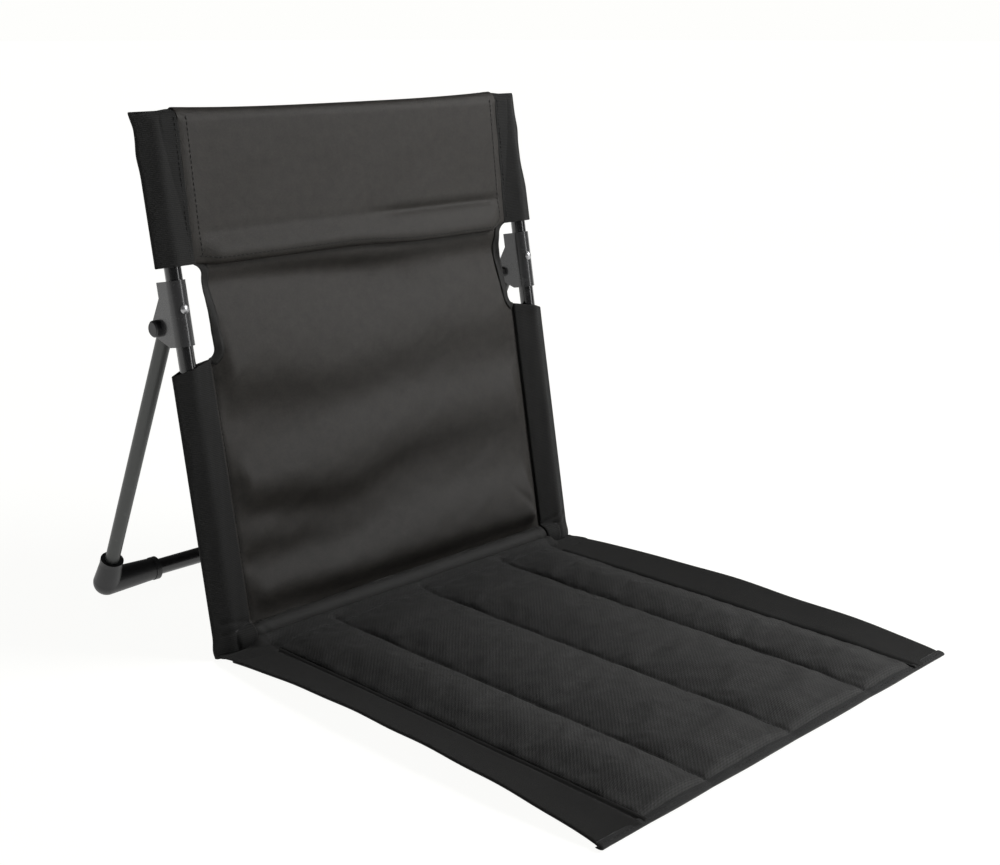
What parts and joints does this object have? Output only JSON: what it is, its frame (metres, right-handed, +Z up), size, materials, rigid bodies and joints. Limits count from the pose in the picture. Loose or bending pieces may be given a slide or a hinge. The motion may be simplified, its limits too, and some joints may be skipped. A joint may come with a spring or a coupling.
{
  "type": "folding floor chair",
  "caption": "Folding floor chair for camping: padded seat flat on the ground, reclined cloth back on a tube frame, propped by a folding rear leg.",
  "frame": {"origin": "on the ground, in the middle of the open chair's footprint", "axes": "+X sideways (the sitter's left, the viewer's right from the front), +Y to the rear, +Z up"},
  "size_m": [0.402, 0.589, 0.413],
  "materials": {
    "frame_paint": "black gloss enamel",
    "corner_plastic": "moulded black nylon",
    "bracket_steel": "dark grey satin coating",
    "bare_steel": "plated steel",
    "cap_plastic": "black moulded plastic",
    "washer_nylon": "natural nylon",
    "leg_paint": "dark grey satin enamel",
    "elbow_plastic": "moulded black plastic",
    "back_cloth": "coated black polyester oxford",
    "band_cloth": "black polyester oxford, doubled",
    "base_cloth": "plain black polyester",
    "seat_foam": null,
    "seat_cloth": "black polyester, finely ribbed",
    "strip_cloth": "black polyester oxford, doubled"
  },
  "bodies": {
    "back": {"upright_left": "frame_paint", "upright_right": "frame_paint", "top_crossbar": "frame_paint", "bottom_crossbar": "frame_paint", "top_corner_left": "corner_plastic", "top_corner_right": "corner_plastic", "bottom_corner_left": "corner_plastic", "bottom_corner_right": "corner_plastic", "hinge_bracket_left": "bracket_steel", "hinge_bracket_right": "bracket_steel", "bracket_rivets": "bare_steel", "pivot_bolt_left": "bare_steel", "pivot_bolt_right": "bare_steel", "pivot_nuts": "bare_steel", "pivot_caps": "cap_plastic", "pivot_washers": "washer_nylon", "back_panel": "back_cloth", "head_pocket": "back_cloth", "head_sleeve_left": "band_cloth", "head_sleeve_right": "band_cloth", "back_sleeve_left": "band_cloth", "back_sleeve_right": "band_cloth", "crease_sleeve": "back_cloth"},
    "leg": {"leg_tube_left": "leg_paint", "leg_tube_right": "leg_paint", "leg_plugs": "cap_plastic", "foot_elbow_left": "elbow_plastic", "foot_elbow_right": "elbow_plastic", "foot_crossbar": "frame_paint"},
    "seat": {"seat_base": "base_cloth", "seat_foam_1": "seat_foam", "seat_foam_2": "seat_foam", "seat_foam_3": "seat_foam", "seat_foam_4": "seat_foam", "seat_cover": "seat_cloth", "seat_strip_left": "strip_cloth", "seat_strip_right": "strip_cloth", "seat_front_hem": "strip_cloth", "seat_web": "strip_cloth"}
  },
  "joints": [
    {"name": "leg_fold", "type": "hinge", "parent": "back", "child": "leg", "pos_m": [0, 0.1664, 0.25054], "axis": [-1, 0, 0], "range_deg": [0, 34]},
    {"name": "seat_fold", "type": "hinge", "parent": "back", "child": "seat", "pos_m": [0, 0.09101, 0.012], "axis": [-1, 0, 0], "range_deg": [-78, 98]}
  ]
}
